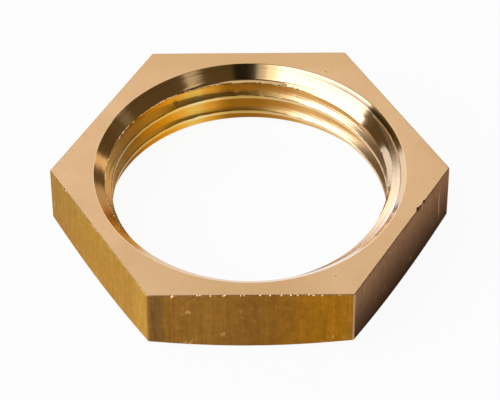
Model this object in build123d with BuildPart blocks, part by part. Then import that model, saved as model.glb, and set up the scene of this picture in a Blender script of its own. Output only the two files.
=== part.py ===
from build123d import *
from build123d import SkipClean
from math import ceil, cos, radians, sin, tan
import os

# All lengths are in millimetres. The nut lies flat on its seat, the face whose corners
# are turned back. Its thread axis is Z, two corners point along X, two flats face Y.

# Parallel pipe thread, right hand, size G 1: a sharp 55 degree form whose tips are both
# cut back by a share of its height, to flat crests and to rounded roots
thread_major_diameter = 33.249
pitch = 2.309
flank_angle = 27.5
tip_share = 1 / 6

# Hexagon: the wall from the thread's root to a flat makes it 38 across the flats
flat_wall = 2.3755
flat_count = 6
nut_height = 8.0

# Seat: a shallow cone takes the corners back to a circle just inside the flats
seat_step = 0.7
corner_angle = 15.0

# Countersinks that open the bore past the thread's root: wide on top, slight at the seat
top_mouth_step = 0.525
top_mouth_angle = 40.0
seat_mouth_step = 0.125
seat_mouth_angle = 45.0

# Depth under the top face at which the groove's middle passes the +X corner
groove_entry_depth = 0.42

# How far the groove's cutting profile reaches out of the wall into the open bore
profile_overreach = 0.3

# The bore's wall is laid out in equal arcs and the root's rounding in flats
bore_arcs = 3
root_flats = 4

# Radii of the thread, out to its sharp tip
thread_radius = thread_major_diameter / 2
flank_slope = tan(radians(flank_angle))
flank_sine = sin(radians(flank_angle))
sharp_height = pitch / (2 * flank_slope)
tip_height = sharp_height * tip_share
tip_radius = thread_radius + tip_height
bore_radius = tip_radius - sharp_height + tip_height
open_radius = bore_radius - profile_overreach
half_width = (tip_radius - open_radius) * flank_slope

# Rounding that meets both flanks and touches the major diameter
root_radius = tip_height * flank_sine / (1 - flank_sine)
root_half_angle = 90 - flank_angle

# Hexagon and seat
across_flats = thread_major_diameter + 2 * flat_wall
corner_radius = across_flats / 2 / cos(radians(180 / flat_count))
seat_radius = across_flats / 2 - seat_step
corner_drop = (corner_radius - seat_radius) * tan(radians(corner_angle))

# Countersinks
arc_angle = 360 / bore_arcs
top_mouth_radius = thread_radius + top_mouth_step
top_mouth_depth = (top_mouth_radius - bore_radius) * tan(radians(top_mouth_angle))
seat_mouth_radius = thread_radius + seat_mouth_step
seat_mouth_depth = (seat_mouth_radius - bore_radius) * tan(radians(seat_mouth_angle))

# The groove starts below the seat, whole turns under its entry, and ends above the top
entry_height = nut_height - groove_entry_depth
turns_to_entry = ceil((entry_height + half_width) / pitch)
groove_start = entry_height - turns_to_entry * pitch
groove_turns = turns_to_entry + 1

with BuildPart() as lock_nut:
    # Hexagon bar
    with BuildSketch():
        RegularPolygon(across_flats / 2, flat_count, major_radius=False)
    extrude(amount=nut_height)

    # Corners of the seat, turned back
    with BuildSketch(Plane.XZ):
        with BuildLine():
            Polyline((seat_radius, 0), (corner_radius, corner_drop), (corner_radius, 0), close=True)
        make_face()
    revolve(axis=Axis.Z, mode=Mode.SUBTRACT)

    with SkipClean():
        # Bore with its countersinks, turned arc by arc
        for arc in range(bore_arcs):
            with BuildSketch(Plane.XZ.rotated((0, 0, arc * arc_angle))):
                with BuildLine():
                    Polyline(
                        (0, 0),
                        (seat_mouth_radius, 0),
                        (bore_radius, seat_mouth_depth),
                        (bore_radius, nut_height - top_mouth_depth),
                        (top_mouth_radius, nut_height),
                        (0, nut_height),
                        close=True,
                    )
                make_face()
            revolve(axis=Axis.Z, revolution_arc=arc_angle, mode=Mode.SUBTRACT)

        # Helical groove of the thread, cut into the bore's wall turn by turn
        for turn in range(groove_turns):
            turn_start = groove_start + turn * pitch
            with BuildLine() as turn_path:
                Helix(pitch, pitch, tip_radius, center=(0, 0, turn_start))
            with BuildSketch(Plane.XZ):
                with BuildLine():
                    root = CenterArc(
                        (thread_radius - root_radius, turn_start),
                        root_radius,
                        -root_half_angle,
                        2 * root_half_angle,
                        mode=Mode.PRIVATE,
                    )
                    Polyline(
                        (open_radius, turn_start - half_width),
                        *[root @ (corner / root_flats) for corner in range(root_flats + 1)],
                        (open_radius, turn_start + half_width),
                        close=True,
                    )
                make_face()
            sweep(path=turn_path.wires()[0], is_frenet=True, mode=Mode.SUBTRACT)

lock_nut.part.label = "lock_nut"

os.makedirs("parts", exist_ok=True)
export_step(lock_nut.part, "parts/lock_nut.step")
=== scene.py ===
import random
from math import atan2, cos, hypot, pi, radians, sin, tan
import bpy
from mathutils import Matrix, Vector


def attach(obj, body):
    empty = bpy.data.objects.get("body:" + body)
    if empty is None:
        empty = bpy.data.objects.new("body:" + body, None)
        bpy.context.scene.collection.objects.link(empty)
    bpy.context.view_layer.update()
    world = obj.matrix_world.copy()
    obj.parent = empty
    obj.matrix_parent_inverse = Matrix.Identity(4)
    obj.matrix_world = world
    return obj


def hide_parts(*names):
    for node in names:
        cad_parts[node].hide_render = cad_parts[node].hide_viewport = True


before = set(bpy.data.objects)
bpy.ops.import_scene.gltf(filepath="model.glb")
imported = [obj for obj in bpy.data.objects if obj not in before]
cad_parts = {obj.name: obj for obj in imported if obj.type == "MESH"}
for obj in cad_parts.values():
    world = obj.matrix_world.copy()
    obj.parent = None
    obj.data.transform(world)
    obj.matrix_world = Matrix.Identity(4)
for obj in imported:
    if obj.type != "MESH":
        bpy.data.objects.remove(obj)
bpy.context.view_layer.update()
print("frame loaded, nodes:", list(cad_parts))


def pickOnly(thing):
    bpy.ops.object.select_all(action="DESELECT")
    thing.select_set(True)
    bpy.context.view_layer.objects.active = thing


def editDone():
    bpy.ops.object.mode_set(mode="OBJECT")


def pickNothing(thing, kind):
    # all deselected and out of edit mode, ready for parts to be picked by place
    pickOnly(thing)
    bpy.ops.object.mode_set(mode="EDIT")
    bpy.ops.mesh.select_mode(type=kind)
    bpy.ops.mesh.select_all(action="DESELECT")
    editDone()


def pickPoints(thing, test):
    # edit mode with just the points that pass the test
    pickNothing(thing, "VERT")
    for point in thing.data.vertices:
        point.select = test(point)
    bpy.ops.object.mode_set(mode="EDIT")


def pickEdges(thing, test):
    # the same for edges, tested by the places of their two ends
    pickNothing(thing, "EDGE")
    points = thing.data.vertices
    for edge in thing.data.edges:
        edge.select = test(points[edge.vertices[0]].co, points[edge.vertices[1]].co)
    bpy.ops.object.mode_set(mode="EDIT")


def seamPoints(thing, first, second):
    # points where the faces of two finishes meet
    slots = [slot.material.name for slot in thing.material_slots]
    touched = {first.name: set(), second.name: set()}
    for face in thing.data.polygons:
        name = slots[face.material_index]
        if name in touched:
            touched[name].update(face.vertices)
    return touched[first.name] & touched[second.name]


def applyPlace():
    bpy.ops.object.transform_apply(location=True, rotation=True, scale=True)


def cutWith(target, tool, operation="DIFFERENCE", overlaps=False):
    # the cut faces take the tool's finish, and overlaps is for a tool whose parts run into each other
    pickOnly(target)
    cut = target.modifiers.new("cut", "BOOLEAN")
    cut.operation = operation
    cut.solver = "EXACT"
    cut.use_self = overlaps
    cut.material_mode = "TRANSFER"
    cut.object = tool
    bpy.ops.object.modifier_apply(modifier=cut.name)
    bpy.data.objects.remove(tool, do_unlink=True)


def feed(tree, value, socket):
    # a number or colour is set on the socket, and another node's output is linked to it
    if isinstance(value, (int, float)):
        socket.default_value = value
    elif isinstance(value, tuple):
        socket.default_value = (*value, 1.0)
    else:
        tree.links.new(value, socket)


def maths(tree, operation, *values, clamp=False):
    node = tree.nodes.new("ShaderNodeMath")
    node.operation = operation
    node.use_clamp = clamp
    for slot, value in enumerate(values):
        feed(tree, value, node.inputs[slot])
    return node.outputs[0]


def times(tree, first, *others):
    for other in others:
        first = maths(tree, "MULTIPLY", first, other)
    return first


def apart(tree, value, other):
    return maths(tree, "ABSOLUTE", maths(tree, "SUBTRACT", value, other))


def remap(tree, value, fromLow, fromHigh, toLow=0.0, toHigh=1.0, smooth=False):
    node = tree.nodes.new("ShaderNodeMapRange")
    node.interpolation_type = "SMOOTHSTEP" if smooth else "LINEAR"
    for slot, entry in enumerate((value, fromLow, fromHigh, toLow, toHigh)):
        feed(tree, entry, node.inputs[slot])
    return node.outputs[0]


def between(tree, value, rise, fall, low=0.0):
    # a mask that rises over one stretch of the value and falls over another
    return times(tree, remap(tree, value, *rise), remap(tree, value, *fall, 1.0, low))


def objectPlace(tree):
    coords = tree.nodes.new("ShaderNodeTexCoord")
    parts = tree.nodes.new("ShaderNodeSeparateXYZ")
    tree.links.new(coords.outputs["Object"], parts.inputs[0])
    return coords.outputs["Object"], parts.outputs["X"], parts.outputs["Y"], parts.outputs["Z"]


def fromAxis(tree, x, y):
    return maths(tree, "SQRT", maths(tree, "ADD", times(tree, x, x), times(tree, y, y)))


def noise(tree, vector, scale, detail=2.0, rough=0.5):
    node = tree.nodes.new("ShaderNodeTexNoise")
    for name, value in (("Vector", vector), ("Scale", scale), ("Detail", detail), ("Roughness", rough)):
        feed(tree, value, node.inputs[name])
    return node.outputs["Fac"]


def newGroup(name, inputs, outputs):
    tree = bpy.data.node_groups.new(name, "ShaderNodeTree")
    for label, value in inputs.items():
        socket = tree.interface.new_socket(name=label, in_out="INPUT", socket_type="NodeSocketFloat")
        socket.default_value = value
    for label in outputs:
        tree.interface.new_socket(name=label, in_out="OUTPUT", socket_type="NodeSocketFloat")
    return tree, tree.nodes.new("NodeGroupInput"), tree.nodes.new("NodeGroupOutput")


def placeGroup(tree, group, **values):
    node = tree.nodes.new("ShaderNodeGroup")
    node.node_tree = group
    for label, value in values.items():
        node.inputs[label].default_value = value
    return node


def makeTurnedRings():
    # concentric lines that a turning tool leaves, by distance from the axis and by height
    tree, given, result = newGroup("Turned Rings", {"Lines": 9000.0, "Coarse": 1500.0},
                                   ("Height", "Bands", "Radius"))
    place, x, y, z = objectPlace(tree)
    radius = fromAxis(tree, x, y)
    tree.links.new(radius, result.inputs["Radius"])
    along = maths(tree, "SUBTRACT", radius, z)
    for label, target in (("Lines", "Height"), ("Coarse", "Bands")):
        node = tree.nodes.new("ShaderNodeTexNoise")
        node.noise_dimensions = "1D"
        node.inputs["Detail"].default_value = 3.0
        node.inputs["Scale"].default_value = 1.0
        tree.links.new(times(tree, along, given.outputs[label]), node.inputs["W"])
        tree.links.new(node.outputs["Fac"], result.inputs[target])
    return tree


def makeSatinGrain():
    # fine even grain, soft clouds, and a few dark pits
    tree, given, result = newGroup("Satin Grain", {"Grain": 9000.0, "Pits": 700.0},
                                   ("Height", "Pits", "Cloud"))
    place, x, y, z = objectPlace(tree)
    tree.links.new(noise(tree, place, given.outputs["Grain"], 3.0, 0.6), result.inputs["Height"])
    tree.links.new(noise(tree, place, 160.0), result.inputs["Cloud"])
    cells = tree.nodes.new("ShaderNodeTexVoronoi")
    tree.links.new(place, cells.inputs["Vector"])
    tree.links.new(given.outputs["Pits"], cells.inputs["Scale"])
    pit = remap(tree, cells.outputs["Distance"], 0.05, 0.12, 1.0, 0.0)
    some = remap(tree, noise(tree, place, 420.0, 1.0), 0.60, 0.66)      # keeps a few of the pits
    tree.links.new(times(tree, pit, some), result.inputs["Pits"])
    return tree


def makeDrawStreaks():
    # fine streaks along the bar that the flats keep from drawing, and mottled tarnish
    tree, given, result = newGroup("Draw Streaks", {"Streaks": 2600.0, "Stretch": 0.03},
                                   ("Fine", "Broad", "Blotch"))
    place, x, y, z = objectPlace(tree)
    flat = tree.nodes.new("ShaderNodeCombineXYZ")
    for value, slot in ((x, "X"), (y, "Y"), (times(tree, z, given.outputs["Stretch"]), "Z")):
        tree.links.new(value, flat.inputs[slot])
    fine = given.outputs["Streaks"]
    for target, scale in (("Fine", fine), ("Broad", times(tree, fine, 0.45))):
        tree.links.new(noise(tree, flat.outputs[0], scale, 3.0, 0.6), result.inputs[target])
    tree.links.new(noise(tree, place, 1500.0, 4.0, 0.6), result.inputs["Blotch"])
    return tree


def makeFlecks():
    # small bright scuffs in loose clusters, fewer of them with a higher reach
    tree, given, result = newGroup("Flecks", {"Cells": 1800.0, "Clusters": 260.0, "Reach": 0.62}, ("Mask",))
    place, x, y, z = objectPlace(tree)
    reach = given.outputs["Reach"]
    spot = remap(tree, noise(tree, place, given.outputs["Cells"], 2.0, 0.6), 0.60, 0.70)
    some = remap(tree, noise(tree, place, given.outputs["Clusters"]), reach, maths(tree, "ADD", reach, 0.08))
    tree.links.new(times(tree, spot, some), result.inputs["Mask"])
    return tree


def makeRoundTheBar():
    # share of a turn counterclockwise from the -X corner, and height over the seat in millimetres
    tree, given, result = newGroup("Round The Bar", {}, ("Turn", "Height"))
    place, x, y, z = objectPlace(tree)
    turn = maths(tree, "ADD", maths(tree, "DIVIDE", maths(tree, "ARCTAN2", y, x), 2 * pi), 0.5)
    tree.links.new(turn, result.inputs["Turn"])
    tree.links.new(times(tree, z, 1000.0), result.inputs["Height"])
    return tree


flecks = makeFlecks()
roundTheBar = makeRoundTheBar()
turnedRings = makeTurnedRings()
satinGrain = makeSatinGrain()
drawStreaks = makeDrawStreaks()
print("shared effects made")


def newBrass(name, color, roughness):
    material = bpy.data.materials.new(name)
    material.use_nodes = True
    shader = material.node_tree.nodes["Principled BSDF"]
    shader.inputs["Base Color"].default_value = (*color, 1.0)
    shader.inputs["Metallic"].default_value = 1.0
    shader.inputs["Roughness"].default_value = roughness
    material.diffuse_color = (*color, 1.0)
    return material, material.node_tree, shader


def mixColor(tree, factor, first, second):
    node = tree.nodes.new("ShaderNodeMix")
    node.data_type = "RGBA"
    tree.links.new(factor, node.inputs["Factor"])
    colors = [socket for socket in node.inputs if socket.type == "RGBA"]
    feed(tree, first, colors[0])
    feed(tree, second, colors[1])
    return [socket for socket in node.outputs if socket.type == "RGBA"][0]


def rampFrom(tree, factor, stops):
    node = tree.nodes.new("ShaderNodeValToRGB")
    ramp = node.color_ramp
    while len(ramp.elements) < len(stops):
        ramp.elements.new(0.5)
    for element, (share, color) in zip(ramp.elements, stops):
        element.position = share
        element.color = (*color, 1.0)
    tree.links.new(factor, node.inputs["Fac"])
    return node.outputs["Color"]


def bumpFrom(tree, height, strength, distance, before=None):
    node = tree.nodes.new("ShaderNodeBump")
    for name, value in (("Strength", strength), ("Distance", distance), ("Height", height)):
        feed(tree, value, node.inputs[name])
    if before is not None:
        tree.links.new(before, node.inputs["Normal"])
    return node.outputs[0]


# faced brass: the flat top and the seat, satin from the facing tool
facedLook = {
    "color": (0.90, 0.61, 0.34),
    "darker": (0.80, 0.52, 0.275),     # in soft clouds
    "middle": (0.74, 0.47, 0.22),      # painted shade, in the middle of the front, and along the back
    "speck": (0.72, 0.46, 0.24),
    "pit": (0.30, 0.18, 0.08),
    "roughness": 0.42,
    "grain": 5200.0,
    "pits": 650.0,
    "lines": 14000.0,
    "frontPaintedShade": 0.6,
    "backPaintedShade": 0.35,
    "backEdgePaintedShade": 0.45,
    "speckShade": 0.4,
    "grainBump": 0.25,
    "lineBump": 0.10,
}


def makeFacedBrass():
    look = facedLook
    material, tree, shader = newBrass("facedBrass", look["color"], look["roughness"])
    grain = placeGroup(tree, satinGrain, Grain=look["grain"], Pits=look["pits"])
    rings = placeGroup(tree, turnedRings, Lines=look["lines"])
    place, x, y, z = objectPlace(tree)
    # painted shade: the top is darker in the middle of the front and along the back, most beside the back
    # edge
    front = times(tree, remap(tree, maths(tree, "ABSOLUTE", x), 0.003, 0.009, look["frontPaintedShade"], 0.0),
                  remap(tree, y, -0.016, -0.008, 1.0, 0.0))
    back = times(tree, remap(tree, y, 0.009, 0.016, 0.0, look["backPaintedShade"]),
                 remap(tree, x, -0.004, 0.008, 1.0, 0.5))
    back = maths(tree, "ADD", back, remap(tree, y, 0.0155, 0.0172, 0.0, look["backEdgePaintedShade"]))
    base = mixColor(tree, remap(tree, grain.outputs["Cloud"], 0.3, 0.75), look["color"], look["darker"])
    base = mixColor(tree, maths(tree, "ADD", front, back), base, look["middle"])
    specks = remap(tree, grain.outputs["Height"], 0.35, 0.65, 0.0, look["speckShade"])
    base = mixColor(tree, specks, base, look["speck"])
    base = mixColor(tree, grain.outputs["Pits"], base, look["pit"])
    tree.links.new(base, shader.inputs["Base Color"])
    normal = bumpFrom(tree, grain.outputs["Height"], look["grainBump"], 0.00004)
    normal = bumpFrom(tree, rings.outputs["Height"], look["lineBump"], 0.00003, normal)
    tree.links.new(normal, shader.inputs["Normal"])
    return material


# drawn brass: the six flats, with streaks along the bar and a tarnish with painted shade that changes round
# it
drawnLook = {
    "color": (0.50, 0.26, 0.045),
    "roughness": 0.36,
    "edgeTint": (0.9, 0.75, 0.5),
    "streaks": 7500.0,
    "stretch": 0.05,
    "streakBump": 0.22,
    "broadShade": (0.86, 1.14),        # darkest and lightest of the broad streaks
    "blotchShade": (0.85, 1.15),       # and of the mottling
    "scuffs": 1500.0,
    "scuffClusters": 330.0,
    "scuffReach": 0.58,
    "scuff": (0.82, 0.52, 0.20),
    "scuffShade": 0.6,
    "scratch": (0.80, 0.62, 0.46),     # beside the corner at the right
    "scratchTurn": 0.4862,
    "scratchLean": 0.0003,             # of a turn for each millimetre up
    "scratchEnds": ((1.8, 3.5), (5.6, 6.6)),
    "scratchShade": 0.7,
    "corner": (0.78, 0.54, 0.34),      # painted highlight along the corner at the front right
    "cornerTurn": 0.3332,
    "cornerPaintedHighlight": 0.65,
    "rim": (1.0, 0.72, 0.42),          # worn bright along the top edge, with painted glints
    "rimDepths": (0.13, 0.05),         # where it starts and is full, under the top in millimetres
    "rimWearAndGlint": 0.5,
    # tarnish and painted shade: the front flat darker than the flat at the left
    "tarnishAndShade": (                       # counterclockwise from the -X corner, by share of a turn
        (0.000, (0.49, 0.26, 0.047)), (0.080, (0.60, 0.335, 0.060)), (0.140, (0.61, 0.34, 0.066)),
        (0.160, (0.70, 0.415, 0.084)), (0.1660, (0.70, 0.415, 0.084)), (0.1672, (0.34, 0.165, 0.030)),
        (0.1690, (0.22, 0.112, 0.032)), (0.1740, (0.23, 0.118, 0.030)), (0.1790, (0.35, 0.16, 0.027)),
        (0.205, (0.39, 0.185, 0.032)), (0.250, (0.32, 0.142, 0.023)), (0.285, (0.36, 0.16, 0.018)),
        (0.300, (0.43, 0.185, 0.0125)), (0.326, (0.46, 0.20, 0.012)), (0.3321, (0.45, 0.20, 0.02)),
        (0.3345, (0.31, 0.155, 0.10)), (0.500, (0.31, 0.155, 0.10)), (0.510, (0.45, 0.24, 0.06)),
        (0.600, (0.50, 0.26, 0.045)), (1.000, (0.49, 0.26, 0.047)),
    ),
}

# the flat at the right has painted shade: its tone is darker, and darkest towards the seat, and it is dull at
# a glance
paintedShadeLook = {
    "edgeTint": (0.55, 0.35, 0.25),
    "tarnishAndShade": ((0.335, (0.42, 0.28, 0.18)), (0.495, (0.45, 0.30, 0.20))),
    "paintedShade": (0.055, 0.062, 0.075),
    "paintedShadeHeights": (0.5, 6.8),
    "paintedShadeAmount": (0.97, 0.05),
}


def makeDrawnBrass(name, edgeTint, tarnishAndShade, paintedShade=None):
    look = drawnLook
    material, tree, shader = newBrass(name, look["color"], look["roughness"])
    shader.inputs["Specular Tint"].default_value = (*edgeTint, 1.0)
    streaks = placeGroup(tree, drawStreaks, Streaks=look["streaks"], Stretch=look["stretch"])
    scuffs = placeGroup(tree, flecks, Cells=look["scuffs"], Clusters=look["scuffClusters"],
                        Reach=look["scuffReach"])
    bar = placeGroup(tree, roundTheBar)
    turn, height = bar.outputs["Turn"], bar.outputs["Height"]
    # tone round the bar: tarnish and painted shade
    toneAndPaintedLight = tree.nodes.new("ShaderNodeHueSaturation")
    tree.links.new(rampFrom(tree, turn, tarnishAndShade), toneAndPaintedLight.inputs["Color"])
    shade = times(tree, remap(tree, streaks.outputs["Broad"], 0.3, 0.7, *look["broadShade"]),
                  remap(tree, streaks.outputs["Blotch"], 0.3, 0.7, *look["blotchShade"]))
    tree.links.new(shade, toneAndPaintedLight.inputs["Value"])
    base = toneAndPaintedLight.outputs["Color"]
    if paintedShade is not None:
        # painted shade: the flat at the right darker towards the seat
        paintedShadeFade = remap(tree, height, *paintedShadeLook["paintedShadeHeights"], *paintedShadeLook["paintedShadeAmount"])
        base = mixColor(tree, paintedShadeFade, base, paintedShade)
    base = mixColor(tree, times(tree, scuffs.outputs["Mask"], look["scuffShade"]), base, look["scuff"])
    leaning = maths(tree, "ADD", turn, times(tree, height, look["scratchLean"]))
    away = apart(tree, leaning, look["scratchTurn"])
    scratch = times(tree, remap(tree, away, 0.0004, 0.0013, look["scratchShade"], 0.0),
                    between(tree, height, *look["scratchEnds"]))
    base = mixColor(tree, scratch, base, look["scratch"])
    # painted highlight along the front right corner
    corner = remap(tree, apart(tree, turn, look["cornerTurn"]), 0.0004, 0.0010, look["cornerPaintedHighlight"], 0.0)
    base = mixColor(tree, corner, base, look["corner"])
    start, full = (nut["height"] - depth for depth in look["rimDepths"])
    # the top edge worn bright, with painted glints
    rim = times(tree, remap(tree, height, start, full),
                remap(tree, streaks.outputs["Fine"], 0.50, 0.60), look["rimWearAndGlint"])
    base = mixColor(tree, rim, base, look["rim"])
    tree.links.new(base, shader.inputs["Base Color"])
    normal = bumpFrom(tree, streaks.outputs["Fine"], look["streakBump"], 0.00003)
    tree.links.new(normal, shader.inputs["Normal"])
    return material


# turned brass: the bright cones at both mouths
turnedLook = {
    "color": (0.87, 0.60, 0.30),
    "paintedReflection": (0.97, 0.86, 0.72),        # painted paler reflection, on the far right of the mouth
    "paintedReflectionTurns": ((0.25, 0.33), (0.435, 0.46)),
    "roughness": 0.11,
    "lines": 12000.0,
    "bands": 1800.0,
    "lineBump": 0.12,
    "rollFrom": 0.0153,                # towards the bore the tool has rolled the cone's edge over
    "rollTo": 0.01575,
    "rollDepth": 0.00010,
    "rollTurns": (0.61, 0.70),
    "scored": (0.05, 0.04, 0.03),
    "scores": (                        # radius, width and strength of each line
        (0.01676, 0.00013, 0.95), (0.01641, 0.00013, 0.35), (0.01690, 0.00006, 0.9),
    ),
    "scoreTurns": ((0.535, 0.56), (0.64, 0.71)),       # they run out round the right
    "scoreRest": 0.15,                 # what is left of them there
}


def makeTurnedBrass():
    look = turnedLook
    material, tree, shader = newBrass("turnedBrass", look["color"], look["roughness"])
    rings = placeGroup(tree, turnedRings, Lines=look["lines"], Coarse=look["bands"])
    radius = rings.outputs["Radius"]
    turn = placeGroup(tree, roundTheBar).outputs["Turn"]
    # painted paler reflection on the far right of the mouth
    paintedReflection = between(tree, turn, *look["paintedReflectionTurns"])
    base = mixColor(tree, paintedReflection, look["color"], look["paintedReflection"])
    broken = between(tree, turn, *look["scoreTurns"], look["scoreRest"])
    for place, width, strength in look["scores"]:
        line = times(tree, remap(tree, apart(tree, radius, place), 0.0, width, strength, 0.0), broken)
        base = mixColor(tree, line, base, look["scored"])
    tree.links.new(base, shader.inputs["Base Color"])
    rolled = times(tree, remap(tree, radius, look["rollFrom"], look["rollTo"], smooth=True),
                   remap(tree, turn, *look["rollTurns"]))
    normal = bumpFrom(tree, rolled, 1.0, look["rollDepth"])
    normal = bumpFrom(tree, rings.outputs["Height"], look["lineBump"], 0.00005, normal)
    normal = bumpFrom(tree, rings.outputs["Bands"], look["lineBump"], 0.0001, normal)
    tree.links.new(normal, shader.inputs["Normal"])
    return material


# cut brass: the thread, its tone painted with light and shade round the bore
threadLook = {
    "color": (0.88, 0.60, 0.22),
    "deepPaintedReflection": (0.95, 0.82, 0.64),        # painted paler reflection in the groove's bottom, where it runs into the mouth at the right
    "deepRadii": (0.0160, 0.0163),
    "deepTurns": ((0.30, 0.36), (0.43, 0.47)),
    "roughness": 0.20,
    "grain": 5000.0,
    "lines": 9000.0,
    "grainBump": 0.12,
    "lineBump": 0.25,
    # painted shade and highlight round the bore, darkest at the back
    "toneAndPaintedLight": (                          # counterclockwise from the -X side, by share of a turn
        (0.000, (0.70, 0.48, 0.21)), (0.080, (0.80, 0.56, 0.24)), (0.380, (0.88, 0.62, 0.32)),
        (0.500, (0.95, 0.67, 0.35)), (0.530, (0.88, 0.60, 0.30)), (0.600, (0.90, 0.66, 0.34)),
        (0.680, (0.95, 0.73, 0.40)), (0.6945, (0.90, 0.66, 0.34)), (0.706, (0.80, 0.55, 0.25)),
        (0.718, (0.73, 0.49, 0.19)), (0.740, (0.61, 0.39, 0.11)), (0.7705, (0.60, 0.39, 0.09)),
        (0.779, (0.70, 0.455, 0.12)), (0.788, (0.88, 0.59, 0.17)), (0.797, (0.95, 0.65, 0.21)),
        (0.8066, (1.0, 0.78, 0.33)), (0.816, (1.0, 0.79, 0.33)), (0.825, (1.0, 0.71, 0.24)),
        (0.846, (0.93, 0.59, 0.10)), (0.868, (0.83, 0.51, 0.078)), (0.894, (0.65, 0.40, 0.064)),
        (0.927, (0.46, 0.285, 0.08)), (0.955, (0.68, 0.47, 0.20)),
    ),
}


def makeThreadBrass():
    look = threadLook
    material, tree, shader = newBrass("threadBrass", look["color"], look["roughness"])
    grain = placeGroup(tree, satinGrain, Grain=look["grain"])
    rings = placeGroup(tree, turnedRings, Lines=look["lines"])
    turn = placeGroup(tree, roundTheBar).outputs["Turn"]
    # painted paler reflection where the groove runs into the mouth at the right
    deepPaintedReflection = times(tree, remap(tree, rings.outputs["Radius"], *look["deepRadii"]),
                 between(tree, turn, *look["deepTurns"]))
    base = mixColor(tree, deepPaintedReflection, rampFrom(tree, turn, look["toneAndPaintedLight"]), look["deepPaintedReflection"])
    tree.links.new(base, shader.inputs["Base Color"])
    normal = bumpFrom(tree, grain.outputs["Height"], look["grainBump"], 0.00003)
    normal = bumpFrom(tree, rings.outputs["Height"], look["lineBump"], 0.00006, normal)
    tree.links.new(normal, shader.inputs["Normal"])
    return material


# the nut, modelled in millimetres and then scaled
nut = {
    "acrossFlats": 38.0,
    "height": 8.0,
    "cornerBreak": 0.12,      # rounding of the upright edges
    "topBreak": 0.11,         # and of the top ones
    "seatRadius": 18.3,
    "seatAngle": 15.0,
    "seatMouthRadius": 16.7495,
    "seatMouthAngle": 45.0,
    "circleSteps": 360,
}
cornerRadius = nut["acrossFlats"] / 2 / cos(radians(30))


def makeBlank():
    top = nut["height"]
    bpy.ops.mesh.primitive_cylinder_add(vertices=6, radius=cornerRadius, depth=top,
                                        location=(0, 0, top / 2), rotation=(0, 0, radians(90)))
    blank = bpy.context.object
    blank.name = "lockNut"
    pickOnly(blank)
    applyPlace()
    for finish in (drawnBrass, facedBrass, paintedShadeBrass):
        blank.data.materials.append(finish)
    rightFlat = Vector((cos(radians(30)), -0.5, 0))
    for face in blank.data.polygons:
        if abs(face.normal.z) > 0.5:
            face.material_index = 1
        elif face.normal.dot(rightFlat) > 0.9:
            face.material_index = 2
    pickEdges(blank, lambda a, b: abs(a.z - b.z) > 1)                      # upright edges
    bpy.ops.mesh.bevel(offset=nut["cornerBreak"], segments=3, affect="EDGES", material=0)
    editDone()
    pickEdges(blank, lambda a, b: min(a.z, b.z) > top - 0.001)             # top edges
    bpy.ops.mesh.bevel(offset=nut["topBreak"], segments=3, affect="EDGES", material=0)
    editDone()
    return blank


def makeConeTool(radius, slope, below, above, twist, finish):
    # a cone round the axis, by its radius in the plane of the seat and how fast it widens upwards
    bpy.ops.mesh.primitive_cone_add(vertices=nut["circleSteps"], radius1=radius - below * slope,
                                    radius2=radius + above * slope, depth=below + above,
                                    location=(0, 0, (above - below) / 2), rotation=(0, 0, radians(twist)))
    tool = bpy.context.object
    pickOnly(tool)
    applyPlace()
    tool.data.materials.append(finish)
    return tool


def makeSeatTool():
    # keeps the round seat and takes the corners back
    return makeConeTool(nut["seatRadius"], 1 / tan(radians(nut["seatAngle"])), 1.0, 9.0, 0.3, facedBrass)


def makeSeatMouthTool():
    # opens the bore at the seat
    slope = -1 / tan(radians(nut["seatMouthAngle"]))
    return makeConeTool(nut["seatMouthRadius"], slope, 1.0, 2.5, 0.4, turnedBrass)


# nicks along the top edges
nicks = {
    "front": (                # place along the front edge in millimetres, and size
        (-8.44, 0.16), (-5.76, 0.10), (-5.45, 0.08), (-4.31, 0.10), (-2.97, 0.11), (-1.12, 0.09),
        (-0.75, 0.09), (0.88, 0.10), (1.93, 0.09), (3.09, 0.08), (4.14, 0.10), (4.85, 0.08),
        (5.99, 0.11), (6.51, 0.08), (7.48, 0.11), (9.30, 0.07),
    ),
    "frontGrowth": 1.8,
    "right": ((0.245, 0.13), (0.61, 0.09)),         # share of the way along another edge, and size
    "left": ((0.167, 0.13), (0.495, 0.10), (0.768, 0.11)),
    "frontRight": ((0.30, 0.07),),
    # darker nicks on the front-right edge
    "dirty": ((0.660, 0.20), (0.672, 0.28), (0.690, 0.17), (0.728, 0.24)),
    "edges": {"right": 0, "left": 180, "frontRight": 300, "dirty": 300},   # corner each starts at, in degrees
    "loose": 14,              # more of them, strewn over the edges
    "looseEdges": (0, 60, 120, 180),
    "looseGap": 0.6,
    "seed": 11,
    "color": (0.80, 0.55, 0.27),
    "darkColor": (0.16, 0.08, 0.04),
    # the mouth's torn strip, painted paler than the cut brass as its glint
    "burrGlintColor": (0.95, 0.72, 0.40),
    "roughness": 0.38,
    "darkRoughness": 0.5,
}


def alongEdge(corner, share):
    # place on a top edge, by the corner it starts at and the share of its length
    first, second = (Vector((cos(radians(turn)), sin(radians(turn)))) * cornerRadius
                     for turn in (corner, corner + 60))
    return first.lerp(second, share)


def edgeNicks(name):
    return [(*alongEdge(nicks["edges"][name], share), size) for share, size in nicks[name]]


def brightNicks():
    # (x, y, size) of every bright nick
    places = [(x, -nut["acrossFlats"] / 2, size * nicks["frontGrowth"]) for x, size in nicks["front"]]
    for name in ("right", "left", "frontRight"):
        places += edgeNicks(name)
    strew = random.Random(nicks["seed"])
    for nick in range(nicks["loose"]):
        place = alongEdge(strew.choice(nicks["looseEdges"]), strew.uniform(0.05, 0.95))
        if all(hypot(place.x - x, place.y - y) > nicks["looseGap"] for x, y, size in places):
            places.append((*place, strew.uniform(0.05, 0.10)))
    return places


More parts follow.
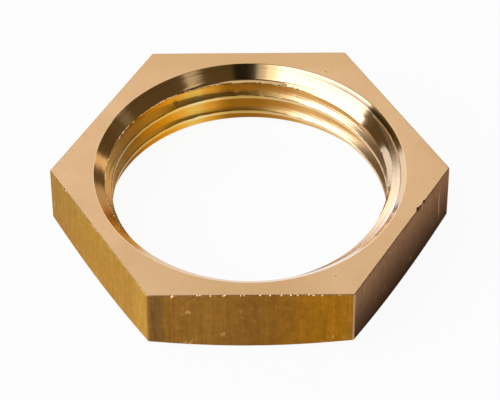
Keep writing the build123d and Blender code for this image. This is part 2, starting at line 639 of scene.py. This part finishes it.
def makeNickTool(places, finish):
    # small uneven balls on the top edges, joined to one
    strew = random.Random(nicks["seed"])
    balls = []
    for x, y, size in places:
        bpy.ops.mesh.primitive_ico_sphere_add(subdivisions=2, radius=size,
                                              location=(x, y, nut["height"] + size * 0.25))
        ball = bpy.context.object
        ball.scale = (strew.uniform(0.9, 1.8), strew.uniform(0.8, 1.2), strew.uniform(0.7, 1.5))
        ball.rotation_euler = (0, 0, strew.uniform(-0.4, 0.4))
        balls.append(ball)
    pickOnly(balls[0])
    for ball in balls:
        ball.select_set(True)
    bpy.ops.object.join()
    tool = bpy.context.object
    applyPlace()
    tool.data.materials.append(finish)
    return tool


def drawProfile(points):
    # a single point, extruded along a row of (radius, height) places on the XZ plane
    bpy.ops.mesh.primitive_plane_add(size=0.1, location=(0, 0, 0))
    thing = bpy.context.object
    pickOnly(thing)
    bpy.ops.object.mode_set(mode="EDIT")
    bpy.ops.mesh.select_mode(type="VERT")
    bpy.ops.mesh.select_all(action="SELECT")
    bpy.ops.mesh.merge(type="CENTER")
    bpy.ops.transform.translate(value=(points[0][0], 0, points[0][1]))
    for here, there in zip(points, points[1:]):
        step = (there[0] - here[0], 0, there[1] - here[1])
        bpy.ops.mesh.extrude_vertices_move(TRANSFORM_OT_translate={"value": step})
    editDone()
    return thing


def turnProfile(thing, steps, rise=0.0, turns=1):
    # round the axis, and up by the rise each turn, left in edit mode with its turns welded
    screw = thing.modifiers.new("screw", "SCREW")
    screw.axis = "Z"
    screw.angle = 2 * pi
    screw.screw_offset = rise
    screw.iterations = turns
    screw.steps = screw.render_steps = steps
    pickOnly(thing)
    bpy.ops.object.modifier_apply(modifier=screw.name)
    bpy.ops.object.mode_set(mode="EDIT")
    bpy.ops.mesh.select_all(action="SELECT")
    bpy.ops.mesh.remove_doubles(threshold=0.001)


def faceOutwards():
    bpy.ops.mesh.select_all(action="SELECT")
    bpy.ops.mesh.normals_make_consistent(inside=False)


# the thread in the bore
thread = {
    "radius": 16.6245,        # at the groove's bottom
    "pitch": 2.309,
    "flankAngle": 27.5,
    "tipShare": 1 / 6,        # of the sharp height, cut back at crest and root
    "crestRadius": 15.20,
    "crestBreak": 0.07,       # rounding of the crest's corners
    "crestDrop": 0.15,        # its lower corner is torn away further
    "entryDepth": 0.46,       # groove's middle under the top at the +X corner
    "stepsPerTurn": 360,
    "rootSteps": 16,          # in the rounding of the root
    "turns": 5,
    "turnsBelow": 4,          # of these, below the entry
}


def threadProfile():
    # one pitch of the bore's wall as (radius, height): half a flat crest, a rounded root, half a crest
    pitch, flank, crest = thread["pitch"], thread["flankAngle"], thread["crestRadius"]
    slope, sine = tan(radians(flank)), sin(radians(flank))
    sharp = pitch / 2 / slope
    tip = sharp * thread["tipShare"]
    bend = tip * sine / (1 - sine)
    rootCentre = thread["radius"] - bend
    swing, count = 90 - flank, thread["rootSteps"]
    root = [radians(-swing + 2 * swing * step / count) for step in range(count + 1)]
    crestHalf = (crest - thread["radius"] - tip + sharp) * slope
    cut, drop = thread["crestBreak"], thread["crestDrop"]
    # from the crest's middle up to the floor of the groove
    rising = [(crest, -pitch / 2), (crest, -pitch / 2 + crestHalf - cut * 0.9),
              (crest + cut * 0.25, -pitch / 2 + crestHalf - cut * 0.3),
              (crest + cut, -pitch / 2 + crestHalf + cut * slope)]
    # and from the groove's roof up to the middle of the next crest
    closing = [(crest + cut * 0.6, pitch / 2 - crestHalf - cut * 0.6 * slope),
               (crest + cut * 0.35, pitch / 2 - crestHalf + drop * 0.3),
               (crest, pitch / 2 - crestHalf + drop), (crest, pitch / 2)]
    return rising + [(rootCentre + bend * cos(turn), bend * sin(turn)) for turn in root] + closing


def makeThreadTool():
    # the bore as a threaded plug: one pitch of its wall, screwed up through the nut
    start = nut["height"] - thread["entryDepth"] - thread["turnsBelow"] * thread["pitch"]
    plug = drawProfile([(radius, start + level) for radius, level in threadProfile()])
    turnProfile(plug, thread["stepsPerTurn"], thread["pitch"], thread["turns"])
    # both open ends are drawn together to a point on the axis, clear of the nut
    middle = nut["height"] / 2
    for high in (False, True):
        bpy.ops.mesh.select_mode(type="EDGE")
        bpy.ops.mesh.select_all(action="DESELECT")
        bpy.ops.mesh.select_non_manifold()
        editDone()
        for edge in plug.data.edges:
            edge.select = edge.select and (plug.data.vertices[edge.vertices[0]].co.z > middle) == high
        ends = [edge.index for edge in plug.data.edges if edge.select]
        pickNothing(plug, "EDGE")
        for index in ends:
            plug.data.edges[index].select = True
        bpy.ops.object.mode_set(mode="EDIT")
        bpy.ops.mesh.extrude_edges_move(TRANSFORM_OT_translate={"value": (0, 0, 2 if high else -2)})
        bpy.ops.mesh.merge(type="CENTER")
    faceOutwards()
    editDone()
    plug.data.materials.append(threadBrass)
    return plug


# the wide mouth on top
mouth = {
    "radius": 17.15,          # at the top face
    "angle": 37.5,
    "rimBreak": 0.03,         # worn outer edge
    "bendRadius": 15.80,      # where the cone steepens towards the bore
    "bendAngle": 42.0,
    "footRadius": 14.7,
    "ringStep": 0.12,
    "burr": 0.04,             # raggedness of its inner edge
    "burrWidth": 0.11,
    "burrSeed": 6,
    "torn": (62, 215),        # where it is ragged, in degrees round the axis
    "crestBurr": 0.012,       # unevenness of the crests
    "crestSeed": 8,
}


def makeTopMouthTool():
    # worn rim, cone ring by ring, and a steeper end in the bore
    top, rim, reach = nut["height"], mouth["rimBreak"], 1.0
    outer, inner = tan(radians(mouth["angle"])), tan(radians(mouth["bendAngle"]))

    def level(radius):
        if radius > mouth["bendRadius"]:
            return top - (mouth["radius"] - radius) * outer
        return (top - (mouth["radius"] - mouth["bendRadius"]) * outer
                - (mouth["bendRadius"] - radius) * inner)

    points = [(0, top + reach), (mouth["radius"] + rim + reach * 4, top + reach),
              (mouth["radius"] + rim * 1.5, top + 0.003), (mouth["radius"] + rim * 0.5, top - rim * 0.25)]
    radius = mouth["radius"] - rim * 0.7
    while radius > mouth["footRadius"]:
        points.append((radius, level(radius)))
        radius -= mouth["ringStep"]
    points.append((0, points[-1][1]))
    tool = drawProfile(points)
    turnProfile(tool, nut["circleSteps"])
    faceOutwards()
    editDone()
    tool.rotation_euler = (0, 0, radians(0.4))
    applyPlace()
    tool.data.materials.append(turnedBrass)
    return tool


def addBurrs(thing):
    # the mouth's inner edge is a narrow torn strip, and the crests are a little uneven
    middle = nut["height"] / 2
    thing.data.materials.append(burrBrass)
    seam = seamPoints(thing, turnedBrass, threadBrass)
    start, end = (radians(turn) for turn in mouth["torn"])

    def isTorn(point):
        turn = atan2(point.co.y, point.co.x) % (2 * pi)
        return point.index in seam and point.co.z > middle and start < turn < end

    def isCrest(point):
        onCrest = hypot(point.co.x, point.co.y) < thread["crestRadius"] + 0.03
        return onCrest and point.index not in seam and point.co.y > -5

    pickPoints(thing, isTorn)
    bpy.ops.transform.vertex_random(offset=mouth["burr"], seed=mouth["burrSeed"])
    bpy.ops.mesh.select_mode(type="EDGE")
    # the strip takes the burr finish, painted paler as a glint
    bpy.ops.mesh.bevel(offset=mouth["burrWidth"], segments=1, affect="EDGES",
                       material=len(thing.data.materials) - 1)
    editDone()
    pickPoints(thing, isCrest)
    bpy.ops.transform.vertex_random(offset=mouth["crestBurr"], seed=mouth["crestSeed"])
    editDone()


def dropSlivers(thing):
    # doubled points and needle faces that the cuts leave
    pickPoints(thing, lambda point: True)
    bpy.ops.mesh.remove_doubles(threshold=0.001)
    bpy.ops.mesh.dissolve_degenerate(threshold=0.001)
    editDone()


nickBrass = newBrass("nickBrass", nicks["color"], nicks["roughness"])[0]
darkNickBrass = newBrass("darkNickBrass", nicks["darkColor"], nicks["darkRoughness"])[0]
burrBrass = newBrass("burrBrass", nicks["burrGlintColor"], nicks["roughness"])[0]
facedBrass = makeFacedBrass()
drawnBrass = makeDrawnBrass("drawnBrass", drawnLook["edgeTint"], drawnLook["tarnishAndShade"])
paintedShadeBrass = makeDrawnBrass("paintedShadeBrass", paintedShadeLook["edgeTint"], paintedShadeLook["tarnishAndShade"],
                              paintedShadeLook["paintedShade"])
turnedBrass = makeTurnedBrass()
threadBrass = makeThreadBrass()
print("finishes made")

lockNut = makeBlank()
cutWith(lockNut, makeSeatTool(), "INTERSECT")
cutWith(lockNut, makeNickTool(brightNicks(), nickBrass), overlaps=True)
cutWith(lockNut, makeNickTool(edgeNicks("dirty"), darkNickBrass), overlaps=True)
print("blank cut:", len(lockNut.data.polygons), "faces")
cutWith(lockNut, makeThreadTool())
print("thread cut:", len(lockNut.data.polygons), "faces")
cutWith(lockNut, makeTopMouthTool())
cutWith(lockNut, makeSeatMouthTool())
addBurrs(lockNut)
dropSlivers(lockNut)
print("mouths cut:", len(lockNut.data.polygons), "faces")

lockNut.scale = (0.001, 0.001, 0.001)
pickOnly(lockNut)
applyPlace()
bpy.ops.object.shade_smooth_by_angle(angle=radians(14))
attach(lockNut, "root")
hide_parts("lock_nut")

# floor and light
studio = {
    "floorColor": (0.90, 0.90, 0.86),
    "floorShare": 0.94,       # how much of the floor is plain white to the eye
    "borePaintedGlow": 0.65,        # and to the metal, in the bore and outside it; the higher share in the bore is painted light on its shadow
    "floorGloss": 0.36,
    "world": (0.095, 0.068, 0.034),
    "tints": {"plain": (1.0, 1.0, 1.0), "key": (0.98, 1.0, 1.30), "cool": (0.86, 0.98, 1.40),
              "warm": (1.0, 0.68, 0.38), "tan": (1.0, 0.76, 0.54), "amber": (1.0, 0.80, 0.52)},
    "keyPlace": (-0.12, 0.5),         # level overhead, its middle in y and z
    "keyDepth": 0.45,
    "keys": (                         # left, right, radiance and tint of it and its softer edge
        (-0.85, -0.125, 2.4, "key"),
        (-0.125, -0.075, 1.3, "plain"),
        (-0.075, -0.035, 0.65, "plain"),
    ),
    "panels": (                       # name, azimuth, elevation, distance, width, height, radiance, tint
        ("back", 94, 36, 0.9, 0.78, 0.64, 1.12, "plain"),
        ("cool", 126, 10.5, 0.9, 0.86, 0.36, 0.95, "cool"),
        ("coolHigh", 125, 27, 0.9, 0.30, 0.24, 0.95, "cool"),
        ("patch", 322, 52, 0.8, 0.11, 0.20, 0.55, "plain"),
        ("patchLeft", 14, 33, 0.8, 0.10, 0.16, 0.121, "plain"),
        ("dusk", 162, 13, 0.8, 0.24, 0.20, 0.30, "tan"),
        ("side", 37, 13, 0.8, 0.09, 0.16, 0.24, "amber"),
        ("front", 268, 26, 0.8, 0.62, 0.26, 0.65, "plain"),
        ("low", 209, 26, 0.8, 0.88, 0.42, 2.15, "key"),
        ("warm", 19, 54, 0.8, 0.30, 0.20, 0.42, "warm"),
        ("tan", 51, 24, 0.8, 0.30, 0.22, 0.85, "tan"),
        ("tanHigh", 34, 40, 0.8, 0.24, 0.18, 0.4675, "tan"),
        ("tanLow", 55, 2, 0.8, 0.34, 0.20, 0.425, "tan"),
    ),
    "flag": (269, 59, 0.6, 0.16, 0.20),   # azimuth, elevation, distance, width, height
    "flagColor": (0.01, 0.008, 0.005),
}


def makeFloor():
    bpy.ops.mesh.primitive_plane_add(size=4.0, location=(0, 0, -0.00003))
    floor = bpy.context.object
    floor.name = "floor"
    material = bpy.data.materials.new("paleFloor")
    material.use_nodes = True
    tree = material.node_tree
    tree.nodes.clear()
    out = tree.nodes.new("ShaderNodeOutputMaterial")
    lit = tree.nodes.new("ShaderNodeBsdfDiffuse")
    lit.inputs["Color"].default_value = (*studio["floorColor"], 1)
    glow = tree.nodes.new("ShaderNodeEmission")
    glow.inputs["Color"].default_value = (1, 1, 1, 1)
    path = tree.nodes.new("ShaderNodeLightPath")
    seen = maths(tree, "ADD", path.outputs["Is Camera Ray"], path.outputs["Is Transmission Ray"], clamp=True)
    place, x, y, z = objectPlace(tree)
    # painted light: to the metal the floor glows brighter inside the bore than outside it
    gloss = remap(tree, fromAxis(tree, x, y), 0.015, 0.018, studio["borePaintedGlow"], studio["floorGloss"])
    share = maths(tree, "ADD", times(tree, seen, studio["floorShare"]),
                  times(tree, path.outputs["Is Glossy Ray"], gloss), clamp=True)
    mix = tree.nodes.new("ShaderNodeMixShader")
    tree.links.new(share, mix.inputs[0])
    tree.links.new(lit.outputs[0], mix.inputs[1])
    tree.links.new(glow.outputs[0], mix.inputs[2])
    tree.links.new(mix.outputs[0], out.inputs["Surface"])
    floor.data.materials.append(material)


def toward(azimuth, elevation, distance):
    # place seen from the nut, azimuth counterclockwise from +X
    around, up = radians(azimuth), radians(elevation)
    return Vector((cos(around) * cos(up), sin(around) * cos(up), sin(up))) * distance


def makePanel(name, place, width, height, radiance, tint, aim=(0, 0, 0.004)):
    light = bpy.data.lights.new(name, "AREA")
    light.shape = "RECTANGLE"
    light.size, light.size_y = width, height
    light.energy = radiance * pi * width * height
    light.color = studio["tints"][tint]
    panel = bpy.data.objects.new(name, light)
    bpy.context.scene.collection.objects.link(panel)
    panel.location = place
    panel.rotation_euler = (Vector(aim) - Vector(place)).to_track_quat("-Z", "Y").to_euler()
    panel.visible_camera = False


def makeFlag(azimuth, elevation, distance, width, height):
    # a black card behind the camera, which the mouth mirrors
    place = toward(azimuth, elevation, distance)
    bpy.ops.mesh.primitive_plane_add(size=1.0, location=place)
    flag = bpy.context.object
    flag.name = "flag"
    flag.scale = (width, height, 1)
    flag.rotation_euler = (-place).to_track_quat("-Z", "Y").to_euler()
    card = bpy.data.materials.new("blackCard")
    card.use_nodes = True
    shader = card.node_tree.nodes["Principled BSDF"]
    shader.inputs["Base Color"].default_value = (*studio["flagColor"], 1)
    shader.inputs["Specular IOR Level"].default_value = 0.0
    flag.data.materials.append(card)
    flag.visible_camera = False


makeFloor()
world = bpy.data.worlds.new("studio")
bpy.context.scene.world = world
world.use_nodes = True
world.node_tree.nodes["Background"].inputs["Color"].default_value = (*studio["world"], 1)
world.node_tree.nodes["Background"].inputs["Strength"].default_value = 1.0
for left, right, radiance, tint in studio["keys"]:
    over = ((left + right) / 2, *studio["keyPlace"])
    makePanel("key", over, right - left, studio["keyDepth"], radiance, tint, aim=(over[0], over[1], 0))
for name, azimuth, elevation, distance, width, height, radiance, tint in studio["panels"]:
    makePanel(name, toward(azimuth, elevation, distance), width, height, radiance, tint)
makeFlag(*studio["flag"])
print("studio lit:", len(bpy.data.lights), "panels")

# camera, turned about the middle of the top face
view = {
    "lens": 218.66,
    "elevation": 44.982,      # looking down, in degrees
    "yaw": 0.181,
    "roll": 0.25,
    "distance": 0.33308,
    "right": 0.0000132,
    "up": -0.0033764,
}


def makeCamera():
    lens = bpy.data.cameras.new("camera")
    lens.lens = view["lens"]
    lens.sensor_width = 36
    lens.clip_start, lens.clip_end = 0.01, 10
    camera = bpy.data.objects.new("camera", lens)
    bpy.context.scene.collection.objects.link(camera)
    middle = Matrix.Translation((0, 0, nut["height"] * 0.001))
    turn = Matrix.Rotation(radians(-view["yaw"]), 4, "Z")
    tilt = Matrix.Rotation(radians(90 - view["elevation"]), 4, "X")
    back = Matrix.Translation((view["right"], view["up"], view["distance"]))
    roll = Matrix.Rotation(radians(-view["roll"]), 4, "Z")
    camera.matrix_world = middle @ turn @ tilt @ back @ roll
    bpy.context.scene.camera = camera


makeCamera()
bpy.context.scene.view_settings.view_transform = "Standard"

print("triangles:", sum(len(f.vertices) - 2 for f in lockNut.data.polygons))
